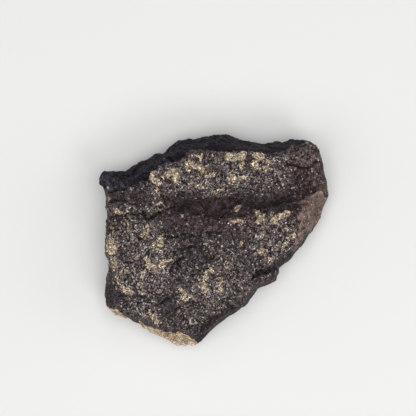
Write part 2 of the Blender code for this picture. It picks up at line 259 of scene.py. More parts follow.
# Narrow cracks of the broken face: the line of each, its half width, and its depth, below zero on a ridge
CRACKS = [
    ([(-19.0, 7.4), (-18.4, 6.5), (-17.6, 5.8), (-16.2, 6.5), (-14.8, 7.4)], 0.35, 1.00),
    ([(-14.8, 7.4), (-12.6, 8.4), (-10.6, 9.0)], 0.30, 0.45),
    ([(-28.8, 12.9), (-26.1, 13.6), (-23.8, 13.8)], 0.35, 0.50),
    ([(-13.0, 24.2), (-12.4, 22.6), (-11.4, 21.6)], 0.50, 0.80),
    ([(-18.6, 15.2), (-17.6, 17.3)], 0.30, 0.40),
    ([(-28.4, 10.2), (-25.7, 10.9)], 0.30, 0.50),
    ([(-28.1, 6.1), (-25.4, 6.8), (-19.7, 7.1)], 0.30, 0.40),
    ([(-13.2, 1.3), (-10.5, 0.9), (-7.8, 1.7)], 0.30, 0.50),
    ([(-6.5, 9.8), (-2.4, 10.2), (0.9, 10.6), (4.3, 10.9), (8.6, 9.8), (12.7, 9.5), (16.5, 10.2)],
     0.80, 0.40),
    ([(16.5, 10.2), (19.4, 11.1), (23.2, 11.9), (26.2, 12.5), (28.9, 14.6)], 0.90, 0.60),
    ([(16.5, 7.5), (17.8, 8.4), (21.2, 9.2), (24.6, 9.8)], 0.70, 0.40),
    ([(19.8, 20.7), (23.2, 19.7), (25.2, 19.3), (27.3, 21.0)], 0.40, 0.90),
    ([(20.5, 21.7), (22.2, 22.2), (23.9, 23.4)], 0.50, -0.40),
    ([(27.8, 24.4), (28.2, 20.6), (29.4, 15.4)], 0.60, -0.45),
    ([(-1.0, 8.6), (2.4, 8.0), (5.4, 8.2)], 0.60, -0.35),
    ([(-9.0, 6.8), (-5.0, 6.2), (-1.0, 5.6)], 0.70, -0.35),
    ([(20.5, 21.9), (21.9, 21.7)], 0.30, 0.40),
    ([(-2.4, 2.1), (-0.4, 2.2), (1.6, 2.1)], 0.30, 0.40),
    ([(-18.0, -3.7), (-17.3, -2.4), (-15.3, -1.8), (-13.8, -2.1)], 0.30, 0.50),
    ([(-11.6, -8.0), (-9.9, -5.6), (-8.5, -4.7)], 0.35, 0.70),
    ([(-10.5, -6.7), (-8.9, -5.1)], 0.30, 0.40),
    ([(-10.5, -3.3), (-8.5, -2.4), (-5.1, -1.3)], 0.30, 0.50),
    ([(-25.4, -14.8), (-22.0, -15.1), (-18.6, -14.8)], 0.35, 0.60),
    ([(-15.3, -17.2), (-13.2, -16.1), (-11.2, -14.8), (-9.9, -14.1)], 0.30, 0.40),
    ([(10.4, -10.1), (11.3, -9.4), (12.7, -8.3), (14.4, -8.2), (16.2, -7.5)], 0.40, 1.00),
    ([(-8.4, 19.2), (-7.0, 17.9), (-5.4, 17.9)], 0.30, 0.40),
    ([(-21.3, 2.2), (-20.2, 0.1), (-20.8, -1.6)], 0.25, 0.30),
    ([(-24.0, -5.9), (-21.3, -5.9), (-19.4, -4.8)], 0.25, 0.35),
    ([(-23.2, -16.1), (-20.0, -16.7), (-17.3, -15.9)], 0.25, 0.35),
    ([(-2.4, -4.3), (0.3, -5.1), (2.2, -4.3)], 0.25, 0.30),
    ([(5.1, -5.9), (6.5, -8.0), (5.9, -10.2)], 0.25, 0.35),
    ([(-7.0, -17.8), (-4.9, -16.9), (-2.7, -17.8)], 0.25, 0.30),
    ([(9.7, 3.8), (11.1, 2.8), (10.3, 1.1)], 0.25, 0.30),
]

# The pale mineral clusters of the broken face: the line of each, its half width, and how packed it is
PALE_CLUSTERS = [
    ([(-16.7, 18.4), (-16.5, 16.8), (-15.4, 15.7), (-14.6, 15.2)], 0.59, 0.90),
    ([(-12.2, 17.6), (-11.1, 18.4), (-10.3, 17.9), (-10.3, 16.3)], 0.86, 0.90),
    ([(-13.8, 17.3), (-13.0, 17.9)], 0.43, 0.60),
    ([(-15.7, 13.6), (-14.9, 12.8)], 0.54, 0.60),
    ([(-7.3, 20.9), (-7.0, 19.0)], 0.54, 0.80),
    ([(-5.9, 20.3), (-3.8, 19.5), (-3.2, 18.7)], 0.86, 0.90),
    ([(-4.3, 22.5), (-3.5, 21.7)], 0.59, 0.60),
    ([(-6.2, 15.7), (-5.7, 15.2)], 0.43, 0.90),
    ([(-4.9, 15.2), (-3.0, 14.1)], 0.49, 0.70),
    ([(-2.2, 17.3), (0.0, 17.9)], 0.43, 0.60),
    ([(-15.4, 9.5), (-14.3, 10.3), (-13.2, 9.2), (-14.0, 7.9), (-15.1, 8.7)], 0.27, 0.70),
    ([(-23.2, 8.4), (-22.1, 9.2), (-21.1, 8.4)], 0.22, 0.60),
    ([(-26.2, 7.9), (-25.1, 7.4)], 0.54, 0.80),
    ([(-23.2, 4.9), (-22.7, 4.4)], 0.38, 0.90),
    ([(-17.6, 3.6), (-17.8, 2.2), (-19.4, 1.4)], 0.49, 0.80),
    ([(-27.5, 3.6), (-26.5, 2.0), (-25.7, 0.3)], 0.27, 0.50),
    ([(-24.6, 2.5), (-25.1, 1.7)], 0.38, 0.50),
    ([(-27.8, -0.7), (-27.0, -1.8), (-27.5, -2.6)], 1.08, 1.00),
    ([(-27.3, -5.3), (-26.7, -6.7)], 0.76, 0.90),
    ([(-14.3, 0.6), (-14.3, -1.0), (-15.1, -1.8)], 0.65, 0.80),
    ([(-16.7, -1.6), (-13.8, -2.6)], 0.38, 0.60),
    ([(-18.1, -4.8), (-17.3, -6.4), (-15.7, -7.2), (-13.8, -7.0), (-13.8, -5.6)], 0.59, 0.90),
    ([(-17.3, -7.0), (-18.6, -8.3), (-19.4, -9.4)], 0.54, 0.60),
    ([(-13.0, -5.6), (-11.3, -5.1), (-10.5, -6.1)], 0.32, 0.50),
    ([(-22.1, -8.0), (-24.3, -7.8), (-25.9, -9.4), (-25.7, -11.5)], 0.32, 0.60),
    ([(-24.6, -12.4), (-23.5, -13.4), (-22.4, -13.7)], 0.54, 0.80),
    ([(-20.2, -12.6), (-18.9, -13.7)], 0.70, 0.50),
    ([(-8.6, -13.4), (-8.1, -15.1), (-7.6, -15.6)], 0.65, 0.85),
    ([(-6.5, -14.8), (-5.4, -15.3)], 0.43, 0.50),
    ([(-0.8, -8.0), (-1.6, -8.8), (-2.2, -9.9)], 0.65, 0.95),
    ([(-2.7, -11.5), (-2.7, -12.9)], 0.65, 0.85),
    ([(-4.3, -10.5), (-3.0, -10.2)], 0.38, 0.60),
    ([(1.6, -10.5), (1.4, -12.1), (1.9, -12.9)], 0.65, 0.65),
    ([(-17.0, -19.6), (-15.9, -21.0), (-15.1, -21.8)], 0.59, 0.75),
    ([(-19.2, -19.6), (-18.4, -19.9)], 0.38, 0.50),
    ([(-6.5, -21.0), (-6.2, -22.1)], 0.38, 0.80),
    ([(-5.1, -22.1), (-4.9, -22.3)], 0.27, 0.70),
    ([(1.1, -17.8), (1.6, -18.0)], 0.27, 0.60),
    ([(3.8, 22.5), (5.4, 22.2), (7.8, 22.7)], 0.81, 1.00),
    ([(7.3, 21.1), (7.3, 19.5)], 0.54, 0.80),
    ([(11.3, 23.0), (12.2, 22.2)], 0.86, 0.90),
    ([(10.8, 20.9), (11.3, 19.5)], 0.81, 0.65),
    ([(13.5, 21.7), (14.6, 20.9), (13.5, 19.0)], 0.81, 0.55),
    ([(4.6, 17.3), (5.4, 16.3)], 0.76, 0.70),
    ([(6.8, 17.1), (8.1, 16.8)], 0.49, 0.60),
    ([(0.5, 12.8), (2.2, 13.6)], 0.59, 0.55),
    ([(5.9, 8.4), (7.0, 9.0)], 0.43, 0.80),
    ([(4.4, 5.2), (7.2, 5.1)], 0.35, 0.90),
    ([(15.9, 5.5), (17.6, 6.3), (19.4, 7.4)], 0.70, 1.00),
    ([(11.6, 7.4), (12.7, 6.3), (11.9, 5.2)], 0.81, 0.60),
    ([(19.2, 3.6), (19.7, 2.8)], 0.38, 0.80),
    ([(20.0, 0.6), (21.3, 1.4)], 0.49, 0.85),
    ([(18.6, -1.3), (19.2, -0.7)], 0.49, 0.95),
    ([(12.7, 1.7), (12.7, 0.6)], 0.32, 0.80),
    ([(7.0, -0.5), (7.3, -1.3)], 0.38, 0.60),
    ([(12.4, -2.4), (13.2, -2.6)], 0.70, 0.75),
    ([(10.8, -3.4), (11.3, -3.7)], 0.38, 0.70),
    ([(14.6, -1.6), (15.4, -1.3)], 0.27, 0.60),
    ([(14.0, -4.3), (15.4, -5.1)], 0.70, 0.40),
    ([(3.0, -5.3), (3.2, -7.0)], 0.43, 0.50),
    ([(-2.2, -0.7), (-0.5, -2.4)], 0.43, 0.60),
]

# Pale grains are also strewn round each cluster, out to this far past its half width
CLUSTER_SPREAD = 2.6

# Round beads of once melted mineral that the break left whole: the middle, length, width and turn of each
CHONDRULES = [
    (-11.6, -3.7, 0.9, 0.8, 0.0), (-14.6, -13.5, 0.9, 0.8, 0.0), (-23.2, -8.2, 1.1, 0.7, 0.0),
    (-4.6, -7.2, 0.6, 0.6, 0.0), (8.6, 14.9, 0.8, 0.6, 0.0), (-20.9, 3.9, 0.7, 0.6, 30.0),
    (-9.4, -18.9, 0.7, 0.6, 20.0),
]

# Single bright spots, all of about one size: partly white grains and partly painted glints on the tops of
# bumps
BRIGHT_REACH = 0.48
BRIGHT_CORE = 0.12
BRIGHT_GRAINS_AND_GLINTS = [
    (-17.8, 8.4), (-17.3, 7.9), (-8.4, 6.3), (-8.6, 6.8), (-1.6, 12.2), (-9.2, 1.1), (9.7, 23.3),
    (17.3, 14.1), (18.4, 14.9), (18.6, 14.1), (14.6, 14.4), (21.6, 11.7), (-28.4, 14.2), (-0.3, -1.8),
    (-2.2, -0.7), (6.2, -1.8), (7.8, 16.8), (-7.0, -9.7), (-12.2, -8.3), (1.4, 16.3), (-3.0, 11.1),
    (13.0, 13.6), (11.1, 1.1), (-19.7, 9.5), (-22.1, 13.6), (-22.4, 14.1), (-1.4, -6.4), (4.9, -11.0),
    (1.9, -4.8), (-4.9, -21.8),
]

# Grains stained by rust, each with its radius. A stain runs down a side no further than the drop
RUST_DROP = 2.4
RUSTY_GRAINS = [
    (-4.1, 6.5, 0.5), (-28.3, 11.1, 0.7), (29.3, 14.0, 1.0), (29.2, 12.8, 0.9), (0.0, -13.4, 0.5),
    (9.2, -12.9, 0.5), (6.8, -14.8, 0.5), (25.0, 26.2, 0.7), (25.8, 25.4, 0.6), (13.0, 3.6, 0.5),
    (25.1, 10.3, 0.5), (23.2, 11.9, 0.5),
]

# Where the small pale grains are thickest: the middle of each area, its radii, its turn and what it adds
SPECKLED_EVERYWHERE = 0.35
SPECKLED_AREAS = [
    ((2.5, 18.0), (20.0, 5.6), 3.0, 0.52),
    ((-19.5, -6.0), (9.5, 12.0), 0.0, 0.60),
    ((1.0, -9.5), (10.0, 8.0), 20.0, 0.40),
    ((15.5, 0.5), (6.5, 7.0), 0.0, 0.50),
    ((-14.0, 11.0), (6.0, 4.0), 20.0, 0.25),
    ((-18.0, -18.0), (5.0, 4.0), -20.0, 0.25),
    ((-4.0, -16.5), (8.0, 5.0), 0.0, 0.32),
    ((-1.0, 3.0), (10.0, 3.6), 0.0, 0.20),
]

# Where the stone is a plainer grey with fewer grains, redder, or browner, each area with its strength
PLAIN_AREAS = [
    ((-3.0, 3.0), (10.0, 3.2), 0.0, 0.50),
    ((-4.0, -4.8), (3.8, 4.6), 10.0, 0.65),
    ((-12.5, -17.4), (4.2, 2.4), -30.0, 0.60),
    ((-28.0, -14.8), (3.0, 3.0), 0.0, 0.80),
    ((-9.5, 3.6), (5.0, 2.2), 10.0, 0.50),
]
WARM_AREAS = [
    ((0.0, 6.5), (14.0, 5.0), 3.0, 1.0),
    ((23.0, 14.0), (8.0, 9.0), 0.0, 1.0),
]
BROWN_AREAS = [
    ((24.3, 21.9), (4.2, 2.8), -15.0, 0.35),
    ((25.7, 16.0), (3.6, 3.2), 0.0, 0.25),
]

# The corners of the smooth brown facet, and the rounded edge that runs on from it
BROWN_FACET = [
    (23.2, 10.1), (29.2, 13.6), (30.8, 10.9), (29.0, 7.4), (28.1, 4.9), (25.1, 2.2), (23.6, 6.8),
]
FACET_ROUNDING = [([(23.2, 6.5), (23.0, 1.0), (21.6, -2.4)], 1.6, 0.8)]

# The tan soil clings to the side in front of this line, in two parts with a bare gap between them
SOIL_LINE = [
    (-29.2, -17.2), (-27.3, -18.0), (-25.4, -18.8), (-23.5, -20.2), (-22.4, -21.4), (-20.5, -21.5),
    (-18.1, -22.7), (-14.6, -24.2), (-12.4, -24.6), (-9.2, -24.6), (-7.0, -25.3), (-5.4, -26.4),
    (-4.4, -28.2),
]
SOIL_GAP_MIDDLE = -21.4
SOIL_LOW_EDGE = 3.2

# How the surface lies: its tilt is one where it faces up, zero on a wall and minus one underneath
EVENED_ROUNDS = 3
MELTED_ROUNDS = 25
rough_places = places_of(stone)
places = evened(stone, rough_places, EVENED_ROUNDS)
melted = evened(stone, rough_places, MELTED_ROUNDS)
normals = normals_of(stone)
tilt = normals[:, 2]
upward = step(0.15, 0.6, tilt)
wall = step(0.75, 0.35, np.abs(tilt))
under = step(-0.25, -0.6, tilt)

# The same places shifted in four ways, from a fine wander to a wide one
crooked = wandering(places, 0.9, 0.35)
lean = wandering(places, 1.1, 0.5)
ragged = wandering(places, 1.6, 1.0)
uneven = wandering(places, 2.6, 0.9)

# The crust lies behind its edge and on the whole underside. Low on its walls it is browned by weather
BROWNED_FROM = 17.0
BROWNED_WHOLLY = 9.0
edge_x, edge_y = np.asarray(CRUST_EDGE).T
behind = places[:, 1] - np.interp(places[:, 0], edge_x, edge_y)
crust = np.maximum(step(-0.6, 1.0, behind + 0.6 * lumps(places, 1.5)), under)
# Painted sheen on the top of the horn's crust
horn_sheen = blotched(ragged, HORN_SHEEN) * crust * step(0.3, 0.75, tilt)
rise = places[:, 2] + 4.0 * lumps(places, 5.0)
weathered = crust * step(BROWNED_FROM, BROWNED_WHOLLY, rise) * step(0.35, 0.05, tilt)
valley = stroked(ragged, DARK_HOLLOWS, 0.25) * step(0.3, 0.7, tilt)
# The rim is painted dark, partly as painted shade on its rounded edge
rim_tone_and_shade = stroked(ragged, DARK_RIM_AND_SHADE, 0.4) * (1.0 - under)

# The grains that stand out, one by one and in clusters
pale = np.zeros(len(places))
strewn = np.zeros(len(places))
for path, half_width, packing in PALE_CLUSTERS:
    gap = along(lean, path)
    pale = np.maximum(pale, packing * step(1.8 * half_width, 0.4 * half_width, gap))
    strewn = np.maximum(strewn, packing * step(half_width + CLUSTER_SPREAD, half_width, gap))
bright = np.zeros(len(places))
for x, y in BRIGHT_GRAINS_AND_GLINTS:
    gap = np.hypot(crooked[:, 0] - x, crooked[:, 1] - y)
    bright = np.maximum(bright, step(BRIGHT_REACH, BRIGHT_CORE, gap))
bead = np.zeros(len(places))
for x, y, length, width, turn in CHONDRULES:
    bead = np.maximum(bead, 2.0 - out_from(crooked, (x, y), (length, width), turn))
rust = np.zeros(len(places))
for x, y, radius in RUSTY_GRAINS:
    gap = np.hypot(crooked[:, 0] - x, crooked[:, 1] - y)
    drop = places[gap < radius, 2].max() - places[:, 2]
    rust = np.maximum(rust, step(radius, 0.2 * radius, gap) * step(RUST_DROP, 0.5 * RUST_DROP, drop))
pale *= upward
strewn *= upward
bright *= upward
bead *= upward

# How thickly small grains lie, and the areas that differ in colour
plain = blotched(ragged, PLAIN_AREAS)
warm = blotched(ragged, WARM_AREAS)
speckled = np.full(len(places), SPECKLED_EVERYWHERE)
for middle, radii, turn, added in SPECKLED_AREAS:
    speckled += added * oval(ragged, middle, radii, turn)
speckled = np.clip(speckled * (1.0 - 0.85 * valley) * (1.0 - plain), 0.0, 1.0)
speckled *= (1.0 - 0.93 * crust) * (1.0 - 0.8 * rim_tone_and_shade)
brown = inside(uneven, BROWN_FACET, 0.5)
brown = np.maximum(brown, stroked(uneven, FACET_ROUNDING, 0.25) * step(0.0, 0.4, tilt))
brown = np.maximum(brown, blotched(ragged, BROWN_AREAS)) * (1.0 - under)
strewn *= (1.0 - 0.7 * valley) * (1.0 - 0.8 * crust) * (1.0 - 0.6 * brown)
soil_x, soil_y = np.asarray(SOIL_LINE).T
before = np.interp(places[:, 0], soil_x, soil_y) - lean[:, 1]
soil = step(-0.2, 0.35, before) * step(-4.0, -5.2, uneven[:, 0]) * step(-0.5, -0.2, tilt)
soil *= step(0.5, 1.1, np.abs(uneven[:, 0] - SOIL_GAP_MIDDLE))
soil *= step(SOIL_LOW_EDGE, 5.0, places[:, 2] + 1.5 * lumps(places, 3.0))

# The break stands in small chips and steps, coarser on the sides. The crust and the valley are smoother.
# Each layer of chips has its size, its height and the shift of its pattern
BREAK_CHIPS = [(3.2, 0.40, 0.0), (1.6, 0.28, 9.0), (0.8, 0.14, 17.0)]
SIDE_CHIPS = [(5.0, 0.60, 31.0), (2.2, 0.30, 13.0)]
WEATHERED_CHIPS = [(2.6, 0.25, 5.0)]
PIT_DEPTH = 0.30
PIT_SPACING = 1.9
PIT_WIDTH = 0.7
places += (melted - places) * (crust * step(0.5, 1.5, places[:, 2]))[:, None]
calm = np.clip(1.0 - 0.65 * crust - 0.5 * valley - 0.6 * brown - 0.5 * rim_tone_and_shade, 0.3, 1.0)
relief = chipped(places, BREAK_CHIPS) + wall * chipped(places, SIDE_CHIPS)
relief += 0.05 * lumps(places, 0.5) - PIT_DEPTH * pits(places, PIT_SPACING, PIT_WIDTH)
relief += 0.35 * soil * lumps(places, 1.7) + 0.10 * pale
relief = relief * calm + crust * (0.46 * lumps(places, 2.1) + 0.24 * lumps(places, 0.9)) + 0.12 * wall
relief += weathered * (0.45 * lumps(places, 4.5) + chipped(places, WEATHERED_CHIPS))
relief += 0.5 * oval(places, *HORN_TIP)
# Each crack is also painted dark, as painted shade in it
crack_shade = np.zeros(len(places))
for path, half_width, depth in CRACKS:
    opened = upward * np.exp(-((along(crooked, path) / half_width) ** 2))
    relief -= depth * opened
    crack_shade = np.maximum(crack_shade, opened * min(depth * 0.2 / half_width, 1.0))

# The flat spot under the stone keeps its place, and nothing goes through the table
foot = step(0.15, 1.2, places[:, 2])
places = places + normals * (relief * foot)[:, None]
places[:, 2] = np.maximum(places[:, 2], 0.0)
move_to(stone, places)

# How deep each place lies below its near and its wider surroundings
NEAR_ROUNDS = 8
WIDE_ROUNDS = 90
NEAR_DEPTH = 0.14
WIDE_DEPTH = 0.6
normals = normals_of(stone)
near_hollow = ((evened(stone, places, NEAR_ROUNDS) - places) * normals).sum(axis=1) / NEAR_DEPTH
wide_hollow = ((evened(stone, places, WIDE_ROUNDS) - places) * normals).sum(axis=1) / WIDE_DEPTH
hollow = 0.6 * np.clip(near_hollow, -1.0, 1.0) + 0.5 * np.clip(wide_hollow, -1.0, 1.0)

PAINTED = {
    "crust": crust, "crack_shade": crack_shade, "valley": valley, "rim_tone_and_shade": rim_tone_and_shade, "warm": warm, "horn_sheen": horn_sheen,
    "weathered": weathered, "pale": pale, "strewn": strewn, "bright": bright, "bead": bead, "rust": rust,
    "speckled": speckled, "plain": plain, "brown": brown, "soil": soil,
    "hollow": np.clip(hollow, -1.0, 1.0),
}
for name, values in PAINTED.items():
    paint(stone, name, values)
bpy.ops.object.shade_smooth()


def put(tree, kind, settings, sockets):
    """Adds a shader node with its settings, and fills or joins its sockets by name or number."""
    made = tree.nodes.new("ShaderNode" + kind)
    for name, value in settings.items():
        setattr(made, name, value)
    for key, value in sockets.items():
        if isinstance(value, bpy.types.NodeSocket):
            tree.links.new(value, made.inputs[key])
        else:
            made.inputs[key].default_value = value
    return made


def maths(tree, operation, first, second=0.0):
    """One operation on two values or outputs."""
    return put(tree, "Math", {"operation": operation}, {0: first, 1: second}).outputs[0]


def times(tree, first, second):
    """One value or output multiplied by another."""
    return maths(tree, "MULTIPLY", first, second)


def shifted(tree, place, shift):
    """A place moved by a fixed step or by another node's output."""
    return put(tree, "VectorMath", {"operation": "ADD"}, {0: place, 1: shift}).outputs[0]


def scaled(tree, place, factor):
    """A place or a step made longer or shorter."""
    return put(tree, "VectorMath", {"operation": "SCALE"}, {0: place, "Scale": factor}).outputs[0]


def eased(tree, value, low, high, out_low=0.0, out_high=1.0):
    """The value brought smoothly from one range to another."""
    made = put(tree, "MapRange", {"interpolation_type": "SMOOTHSTEP"}, {
        "Value": value, "From Min": low, "From Max": high, "To Min": out_low, "To Max": out_high,
    })
    return made.outputs["Result"]


def clouds(tree, place, scale, **details):
    """Soft noise through the stone, as a node."""
    sockets = {name.capitalize(): value for name, value in details.items()}
    return put(tree, "TexNoise", {}, {"Vector": place, "Scale": scale, **sockets})


def mixed(tree, share, below, above, way="MIX"):
    """One colour laid over another. A colour is three numbers or another node's output."""
    tones = [tone if isinstance(tone, bpy.types.NodeSocket) else (*tone, 1.0) for tone in (below, above)]
    made = put(tree, "Mix", {"data_type": "RGBA", "blend_type": way}, {
        "Factor": share, 6: tones[0], 7: tones[1],
    })
    return made.outputs[2]


def tinted(tree, colour, tint):
    """A colour multiplied by another."""
    return mixed(tree, 1.0, colour, tint, "MULTIPLY")


def mark(tree, name):
    """A value that was painted on the mesh."""
    return put(tree, "Attribute", {"attribute_name": name}, {}).outputs["Fac"]


def new_group(name, inputs, outputs):
    """An empty node group that takes a place and some values, and gives values."""
    group = bpy.data.node_groups.new(name, "ShaderNodeTree")
    group.interface.new_socket("Place", in_out="INPUT", socket_type="NodeSocketVector")
    for socket in inputs:
        group.interface.new_socket(socket, in_out="INPUT", socket_type="NodeSocketFloat")
    for socket in outputs:
        group.interface.new_socket(socket, in_out="OUTPUT", socket_type="NodeSocketFloat")
    return group


def placed(tree, group, place, values):
    """Puts a node group in a material, with its own values."""
    made = tree.nodes.new("ShaderNodeGroup")
    made.node_tree = group
    tree.links.new(place, made.inputs["Place"])
    for name, value in values.items():
        if isinstance(value, bpy.types.NodeSocket):
            tree.links.new(value, made.inputs[name])
        else:
            made.inputs[name].default_value = value
    return made.outputs


# Packed mineral grains with dark joints. Share is how many show, and the picks differ between grains
GRAIN_BEND = 1.6
SHARE_FADE = 0.03
mineral_grains = new_group(
    "mineral_grains",
    ["Grains per metre", "Share", "Joint width"],
    ["Mask", "Pick", "Second pick", "Joint"],
)
given = mineral_grains.nodes.new("NodeGroupInput").outputs
scale = given["Grains per metre"]
drift = clouds(mineral_grains, given["Place"], scale, detail=2.0).outputs["Color"]
drift = shifted(mineral_grains, drift, (-0.5, -0.5, -0.5))
drift = scaled(mineral_grains, drift, maths(mineral_grains, "DIVIDE", GRAIN_BEND, scale))
crooked_place = shifted(mineral_grains, given["Place"], drift)
cells = put(mineral_grains, "TexVoronoi", {}, {"Vector": crooked_place, "Scale": scale})
edges = put(mineral_grains, "TexVoronoi", {"feature": "DISTANCE_TO_EDGE"}, {
    "Vector": crooked_place, "Scale": scale,
})
picks = put(mineral_grains, "SeparateColor", {}, {0: cells.outputs["Color"]}).outputs
joint = eased(mineral_grains, edges.outputs["Distance"], 0.02, given["Joint width"])
shown = put(mineral_grains, "MapRange", {}, {
    "Value": maths(mineral_grains, "SUBTRACT", given["Share"], picks[0]),
    "From Min": 0.0,
    "From Max": SHARE_FADE,
}).outputs["Result"]
handed_out = mineral_grains.nodes.new("NodeGroupOutput").inputs
mineral_grains.links.new(times(mineral_grains, shown, joint), handed_out["Mask"])
mineral_grains.links.new(picks[1], handed_out["Pick"])
mineral_grains.links.new(picks[2], handed_out["Second pick"])
mineral_grains.links.new(joint, handed_out["Joint"])

# Thin crooked threads of mineral, broken into short pieces
mineral_threads = new_group("mineral_threads", ["Threads per metre", "Width"], ["Mask"])
given = mineral_threads.nodes.new("NodeGroupInput").outputs
scale = given["Threads per metre"]
wave = clouds(mineral_threads, given["Place"], scale, detail=1.0, distortion=0.6).outputs["Fac"]
elsewhere = shifted(mineral_threads, given["Place"], (3.1, 1.7, 2.3))
breaks = clouds(mineral_threads, elsewhere, scale, detail=0.0).outputs["Fac"]
off = maths(mineral_threads, "ABSOLUTE", maths(mineral_threads, "SUBTRACT", wave, 0.5))
off = maths(mineral_threads, "DIVIDE", off, given["Width"])
whole = eased(mineral_threads, off, 1.0, 0.3)
kept = eased(mineral_threads, breaks, 0.45, 0.55)
thread = times(mineral_threads, whole, kept)
mineral_threads.links.new(thread, mineral_threads.nodes.new("NodeGroupOutput").inputs["Mask"])

# The colours of the stone, from dark to light where there are two
GROUND_TONES = (0.020, 0.0122, 0.0142), (0.065, 0.048, 0.054)
GRAIN_RIM_TONE = (0.28, 0.215, 0.211)
GRAIN_CHANGES = (0.34, 0.31, 0.32), (1.75, 1.72, 1.75)
PLAIN_TONES = (0.038, 0.031, 0.034), (0.130, 0.112, 0.122)
JOINT_TONE = (0.009, 0.005, 0.005)
COOL_AND_WARM = (0.96, 1.02, 1.02), (1.10, 0.97, 0.97)
VALLEY_TONES = (0.024, 0.016, 0.018), (0.092, 0.067, 0.070)
RIM_TONES = (0.016, 0.010, 0.011), (0.056, 0.042, 0.045)
FACET_TONES = (0.155, 0.098, 0.082), (0.31, 0.215, 0.188)
DARK_THREAD_TONE = (0.008, 0.004, 0.004)
PALE_THREAD_TONES = (0.17, 0.13, 0.125), (0.50, 0.43, 0.40)
SMALL_GRAIN_TONES = (0.20, 0.155, 0.15), (0.80, 0.72, 0.67)
CREAM_TONES = (0.56, 0.40, 0.25), (1.0, 0.90, 0.74)
CREAM_JOINT_TONE = (0.10, 0.055, 0.035)
CREAM_HOLE_TONE = (0.10, 0.058, 0.042)
CREAM_CHANGES = (0.42, 0.36, 0.30), (1.42, 1.42, 1.42)
BEAD_RIM_TONE = (0.014, 0.009, 0.010)
BEAD_TONES = (0.09, 0.065, 0.062), (0.46, 0.37, 0.34)
SOIL_TONES = (0.66, 0.47, 0.29), (1.0, 0.86, 0.66)
SOIL_HOLE_TONE = (0.15, 0.078, 0.040)
SOIL_PALE_TONE = (0.95, 0.88, 0.78)
SOIL_JOINT_TONE = (0.26, 0.145, 0.08)
CRUST_TONES = (0.003, 0.002, 0.005), (0.019, 0.014, 0.025)
HORN_SHEEN_TONE = (0.046, 0.041, 0.052)
CRUST_DUST_AND_SHEEN_TONE = (0.094, 0.082, 0.108)
WEATHERED_TONES = (0.011, 0.0075, 0.0065), (0.040, 0.027, 0.021)
WEATHERED_GRAIN_TONE = (0.075, 0.050, 0.038)
CRUST_THREAD_TONE = (0.003, 0.002, 0.004)
RUST_TONES = (0.30, 0.16, 0.10), (0.64, 0.42, 0.31)
CRACK_SHADE_TONE = (0.005, 0.003, 0.003)
WHITE_AND_GLINT_TONE = (0.95, 0.92, 0.89)

chondrite = bpy.data.materials.new("chondrite_stone")
chondrite.use_nodes = True
tree = chondrite.node_tree
shader = tree.nodes["Principled BSDF"]
place = put(tree, "TexCoord", {}, {}).outputs["Object"]
crust_mark = mark(tree, "crust")
speckled_mark = mark(tree, "speckled")
bead_mark = mark(tree, "bead")
mottle = clouds(tree, place, 420.0, detail=5.0, roughness=0.6).outputs["Fac"]
worms = clouds(tree, place, 1350.0, detail=3.0, roughness=0.72, distortion=0.9).outputs["Fac"]
worm = eased(tree, worms, 0.44, 0.58)


def grains(per_metre, share, joint_width):
    """A layer of mineral grains in the stone."""
    return placed(tree, mineral_grains, place, {
        "Grains per metre": per_metre, "Share": share, "Joint width": joint_width,
    })


def frayed(value, reach, low, high):
    """A painted mark with an edge that follows the grain."""
    stray = times(tree, maths(tree, "SUBTRACT", worms, 0.5), reach)
    return eased(tree, maths(tree, "ADD", value, stray), low, high)


small = grains(2900.0, times(tree, speckled_mark, 0.14), 0.12)
packed = grains(1700.0, 0.5, 0.18)
strewn_grains = grains(2100.0, times(tree, mark(tree, "strewn"), 0.15), 0.14)
# Tiny near-white grains, partly painted glints
glints = grains(3300.0, times(tree, speckled_mark, 0.042), 0.12)
pale_threads = placed(tree, mineral_threads, place, {"Threads per metre": 1300.0, "Width": 0.10})["Mask"]
dark_place = shifted(tree, place, (0.7, 0.2, 0.4))
dark_threads = placed(tree, mineral_threads, dark_place, {
    "Threads per metre": 1000.0, "Width": 0.09,
})["Mask"]
joints = times(tree, maths(tree, "SUBTRACT", 1.0, packed["Joint"]), 0.75)

# The dark groundmass with its worn, smooth and brown areas, and the dark threads through all of it
ground = mixed(tree, eased(tree, mottle, 0.3, 0.7), *GROUND_TONES)
grain_rims = times(tree, worm, maths(tree, "ADD", times(tree, speckled_mark, 0.45), 0.30))
ground = mixed(tree, grain_rims, ground, GRAIN_RIM_TONE)
ground = tinted(tree, ground, mixed(tree, small["Second pick"], *GRAIN_CHANGES))
ground = mixed(tree, times(tree, mark(tree, "plain"), 0.95), ground, mixed(tree, worm, *PLAIN_TONES))
ground = mixed(tree, joints, ground, JOINT_TONE)
ground = tinted(tree, ground, mixed(tree, mark(tree, "warm"), *COOL_AND_WARM))
ground = mixed(tree, times(tree, mark(tree, "valley"), 0.75), ground, mixed(tree, worm, *VALLEY_TONES))
# The rim is darkened: partly its own dark smooth stone, partly painted shade on the rounded edge
ground = mixed(tree, mark(tree, "rim_tone_and_shade"), ground, mixed(tree, worm, *RIM_TONES))
ground = mixed(tree, frayed(mark(tree, "brown"), 1.6, 0.2, 0.8), ground, mixed(tree, worm, *FACET_TONES))
ground = mixed(tree, times(tree, dark_threads, 0.65), ground, DARK_THREAD_TONE)

# Pale threads and small grains lie in the ground
threads = times(tree, pale_threads, times(tree, speckled_mark, 0.65))
colour = mixed(tree, threads, ground, mixed(tree, small["Pick"], *PALE_THREAD_TONES))
colour = mixed(tree, small["Mask"], colour, mixed(tree, small["Pick"], *SMALL_GRAIN_TONES))

